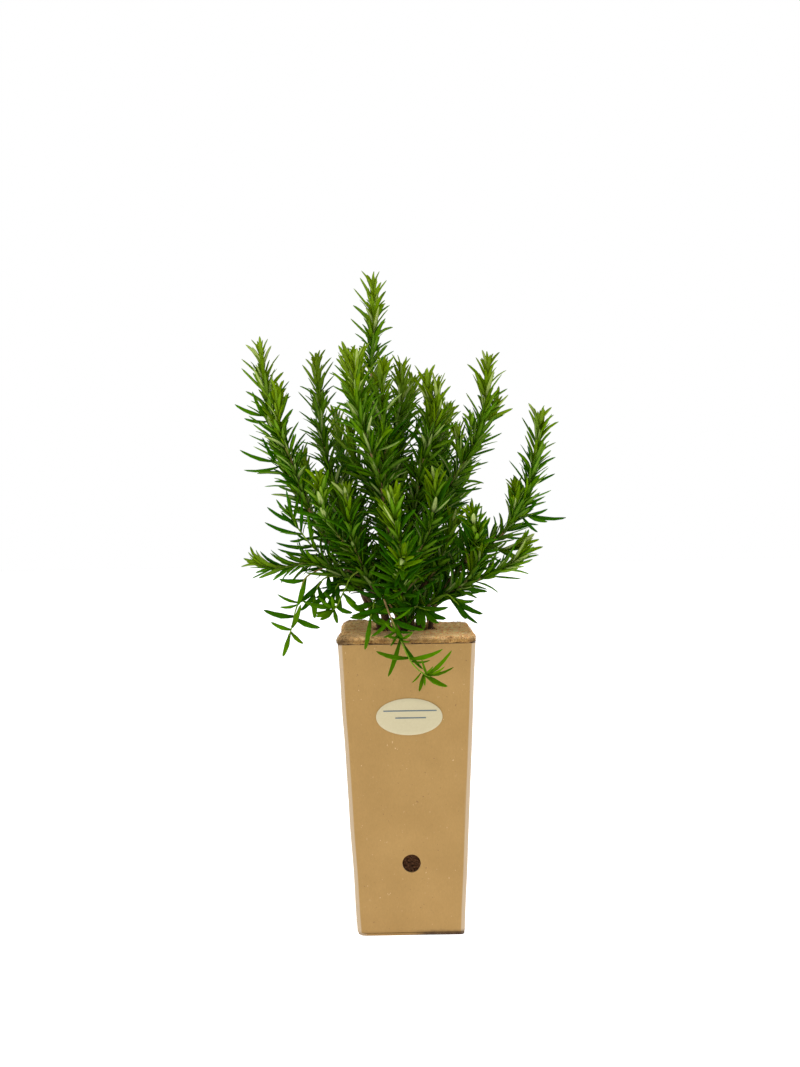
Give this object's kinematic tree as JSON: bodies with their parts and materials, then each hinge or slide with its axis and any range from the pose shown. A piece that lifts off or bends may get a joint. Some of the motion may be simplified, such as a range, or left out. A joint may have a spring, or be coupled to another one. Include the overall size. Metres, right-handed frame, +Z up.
{
  "type": "potted rosemary plant",
  "caption": "Young bushy rosemary with leafy upright and hanging shoots, in a tall tapered square pot of kraft board with a coir mat, a drain hole and an oval label without words",
  "frame": {"origin": "on the surface that the pot stands on, under the middle of its base", "axes": "+Z up, along the longest extent; -Y is the front, with the label and the drain hole; +X is to the right as seen from the front"},
  "size_m": [0.26, 0.2209, 0.5211],
  "materials": {
    "kraft_board": "matte brown kraft board with fine fibre flecks",
    "label_paper": "smooth cream paper without words",
    "soil": "dark crumbly potting soil",
    "coir": "rough felted coconut fibre",
    "rosemary": "glossy needle leaves, pale beneath, on green to brown stems"
  },
  "bodies": {
    "root": {"cardboard_pot": "kraft_board", "name_label": "label_paper", "growing_medium": "soil", "coir_mat": "coir", "leafy_stem_centre": "rosemary", "leafy_stem_left_tall": "rosemary", "leafy_stem_left_inner": "rosemary", "leafy_stem_front_left": "rosemary", "leafy_stem_front": "rosemary", "leafy_stem_centre_right": "rosemary", "leafy_stem_right_tall": "rosemary", "leafy_stem_far_right": "rosemary", "leafy_stem_low_right": "rosemary", "leafy_stem_low_left": "rosemary", "leafy_stem_over_front": "rosemary", "leafy_stem_front_left_low": "rosemary", "leafy_stem_back_left": "rosemary", "leafy_stem_back": "rosemary", "leafy_stem_back_right": "rosemary"}
  },
  "joints": []
}
